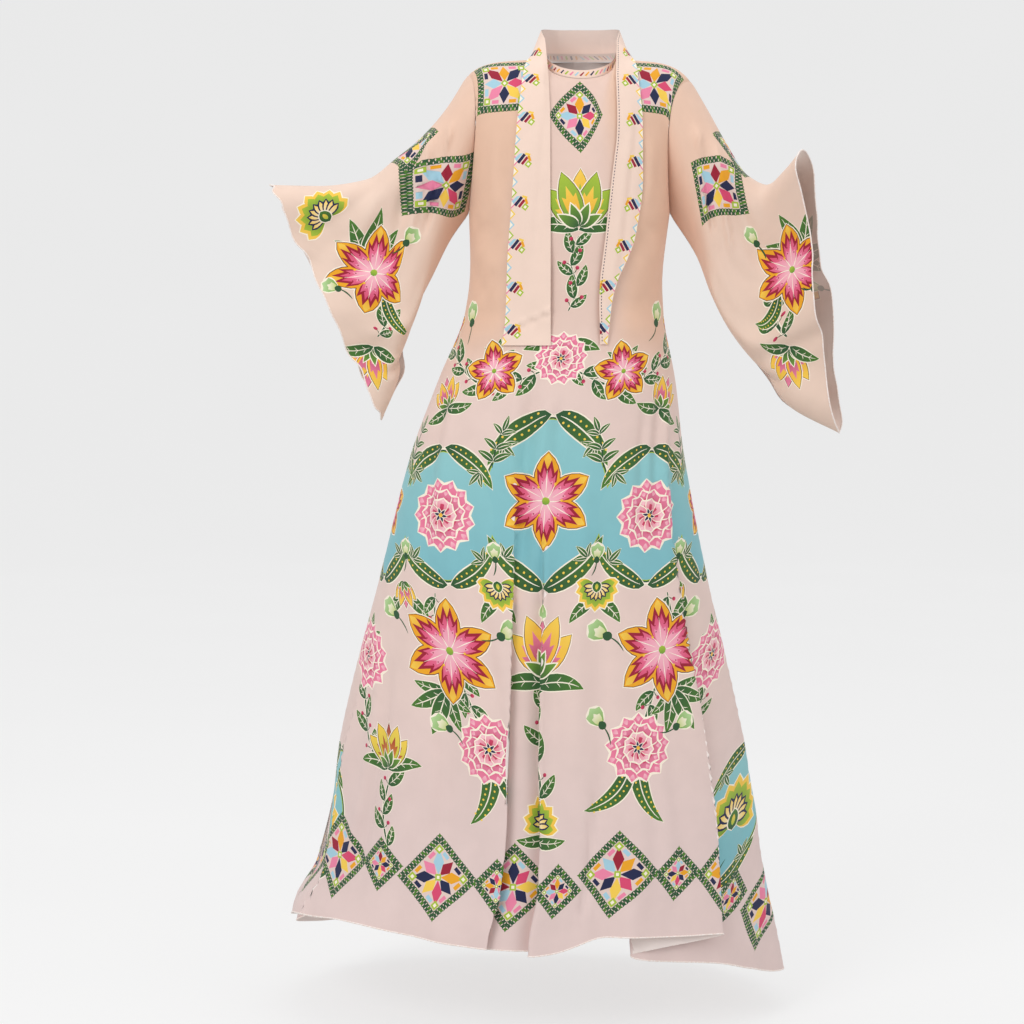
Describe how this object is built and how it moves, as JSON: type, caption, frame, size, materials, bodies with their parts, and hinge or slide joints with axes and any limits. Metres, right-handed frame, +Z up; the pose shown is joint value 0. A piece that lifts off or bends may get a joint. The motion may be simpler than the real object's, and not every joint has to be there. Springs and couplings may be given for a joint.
{
  "type": "maxi dress",
  "caption": "Ankle-length flared dress with wide bell sleeves, a round bound neck, a button at centre back and a narrow neck scarf, shown hollow as worn.",
  "frame": {"origin": "middle of the neck at the height of the high shoulder points, where the wearer's shoulders carry the dress", "axes": "+Z up, -Y to the wearer's front, +X to the wearer's left"},
  "size_m": [0.9398, 0.5811, 1.5603],
  "materials": {
    "printed_cloth": "soft matt crepe weave, floral print on blush",
    "scarf_cloth": "soft matt crepe weave, bordered strip",
    "shell_button": "polished, pearly"
  },
  "bodies": {
    "root": {"front": "printed_cloth", "back_left": "printed_cloth", "back_right": "printed_cloth", "sleeve_left": "printed_cloth", "sleeve_right": "printed_cloth", "neckband": "printed_cloth", "scarf_back": "scarf_cloth", "scarf_left": "scarf_cloth", "scarf_right": "scarf_cloth", "button": "shell_button"}
  },
  "joints": []
}
